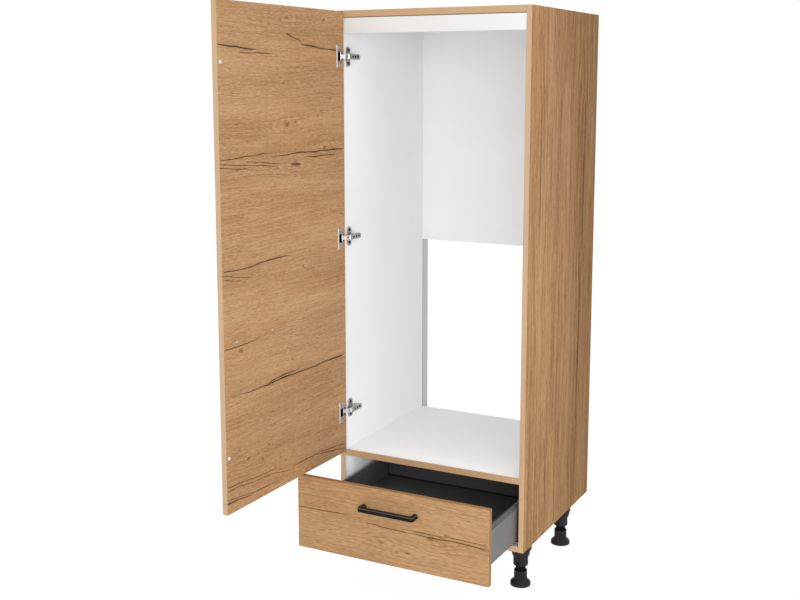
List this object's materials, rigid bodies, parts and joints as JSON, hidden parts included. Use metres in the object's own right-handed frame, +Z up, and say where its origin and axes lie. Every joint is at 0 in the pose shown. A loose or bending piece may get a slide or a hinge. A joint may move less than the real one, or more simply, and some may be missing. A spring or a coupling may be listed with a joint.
{
  "type": "tall fridge housing unit",
  "caption": "Tall oak-decor kitchen housing for a built-in fridge, with a hinged door, a drawer below the niche and adjustable feet.",
  "frame": {"origin": "on the floor, in the middle of the part's outline with the door open and the drawer pulled out as in the picture", "axes": "+X to the unit's right, +Y to its back, +Z up"},
  "size_m": [0.6305, 1.166, 1.65],
  "materials": {
    "oak_side": "oak decor outside, white inside",
    "oak_front": "oak decor, matte",
    "white_board": "white melamine, matte",
    "white_back": "white, matte",
    "dowel_wood": "plain beech",
    "zinc": "zinc plated",
    "nickel": "nickel plated, satin",
    "runner_steel": "galvanised",
    "drawer_grey": "powder coated, satin",
    "drawer_board": "dark melamine, matte",
    "handle_black": "black, satin",
    "bumper": "soft, pale",
    "foot_black": "black, moulded"
  },
  "bodies": {
    "carcass": {"left_side_panel": "oak_side", "right_side_panel": "oak_side", "top_panel": "white_board", "fridge_shelf": "white_board", "bottom_panel": "white_board", "upper_front_rail": "white_board", "upper_back_panel": "white_back", "cam_housings": "zinc", "cam_bolts": "zinc", "wood_dowels": "dowel_wood", "hinge_plate_top": "nickel", "hinge_plate_middle": "nickel", "hinge_plate_bottom": "nickel", "hinge_arm_top": "nickel", "hinge_arm_middle": "nickel", "hinge_arm_bottom": "nickel", "hinge_plate_screws": "zinc", "hinge_arm_pins": "nickel", "runner_cabinet_rail_left": "runner_steel", "runner_cabinet_rail_right": "runner_steel", "runner_screws": "zinc", "foot_plate_front_left": "foot_black", "foot_plate_front_right": "foot_black", "foot_plate_rear_left": "foot_black", "foot_plate_rear_right": "foot_black", "foot_sleeve_front_left": "foot_black", "foot_sleeve_front_right": "foot_black", "foot_sleeve_rear_left": "foot_black", "foot_sleeve_rear_right": "foot_black", "foot_plate_screws": "zinc"},
    "hinge_links": {"hinge_link_top": "nickel", "hinge_link_middle": "nickel", "hinge_link_bottom": "nickel"},
    "door": {"door_panel": "oak_front", "hinge_cup_top": "nickel", "hinge_cup_middle": "nickel", "hinge_cup_bottom": "nickel", "hinge_cup_pins": "nickel", "hinge_cup_screws": "zinc", "door_handle": "handle_black", "door_handle_screws": "zinc", "door_bumpers": "bumper"},
    "drawer": {"drawer_front": "oak_front", "drawer_side_left": "drawer_grey", "drawer_side_right": "drawer_grey", "drawer_base": "drawer_board", "drawer_back": "drawer_board", "drawer_handle": "handle_black", "drawer_handle_screws": "zinc", "drawer_front_brackets": "zinc", "drawer_bracket_screws": "zinc", "runner_drawer_rail_left": "runner_steel", "runner_drawer_rail_right": "runner_steel"},
    "runner_middle_rails": {"runner_middle_rail_left": "runner_steel", "runner_middle_rail_right": "runner_steel"},
    "foot_adjuster_front_left": {"foot_adjuster_front_left": "foot_black"},
    "foot_adjuster_front_right": {"foot_adjuster_front_right": "foot_black"},
    "foot_adjuster_rear_left": {"foot_adjuster_rear_left": "foot_black"},
    "foot_adjuster_rear_right": {"foot_adjuster_rear_right": "foot_black"}
  },
  "joints": [
    {"name": "link_swing", "type": "hinge", "parent": "carcass", "child": "hinge_links", "pos_m": [-0.25047, 0.025, 0.9915], "axis": [0, 0, 1], "range_deg": [-27.5, 1.5]},
    {"name": "door_swing", "type": "hinge", "parent": "hinge_links", "child": "door", "pos_m": [-0.26492, 0.00399, 0.9915], "axis": [0, 0, -1], "range_deg": [-118.05, 5.9]},
    {"name": "drawer_slide", "type": "slide", "parent": "carcass", "child": "drawer", "axis": [0, -1, 0], "range_m": [-0.226, 0.254]},
    {"name": "runner_slide", "type": "slide", "parent": "carcass", "child": "runner_middle_rails", "axis": [0, -1, 0], "range_m": [-0.113, 0.127]},
    {"name": "foot_screw_front_left", "type": "slide", "parent": "carcass", "child": "foot_adjuster_front_left", "axis": [0, 0, 1], "range_m": [-0.02, 0.005]},
    {"name": "foot_screw_front_right", "type": "slide", "parent": "carcass", "child": "foot_adjuster_front_right", "axis": [0, 0, 1], "range_m": [-0.02, 0.005]},
    {"name": "foot_screw_rear_left", "type": "slide", "parent": "carcass", "child": "foot_adjuster_rear_left", "axis": [0, 0, 1], "range_m": [-0.02, 0.005]},
    {"name": "foot_screw_rear_right", "type": "slide", "parent": "carcass", "child": "foot_adjuster_rear_right", "axis": [0, 0, 1], "range_m": [-0.02, 0.005]}
  ],
  "couplings": [
    {"joint": "link_swing", "follows": "door_swing", "ratio": 0.23211},
    {"joint": "runner_slide", "follows": "drawer_slide", "ratio": 0.5}
  ]
}
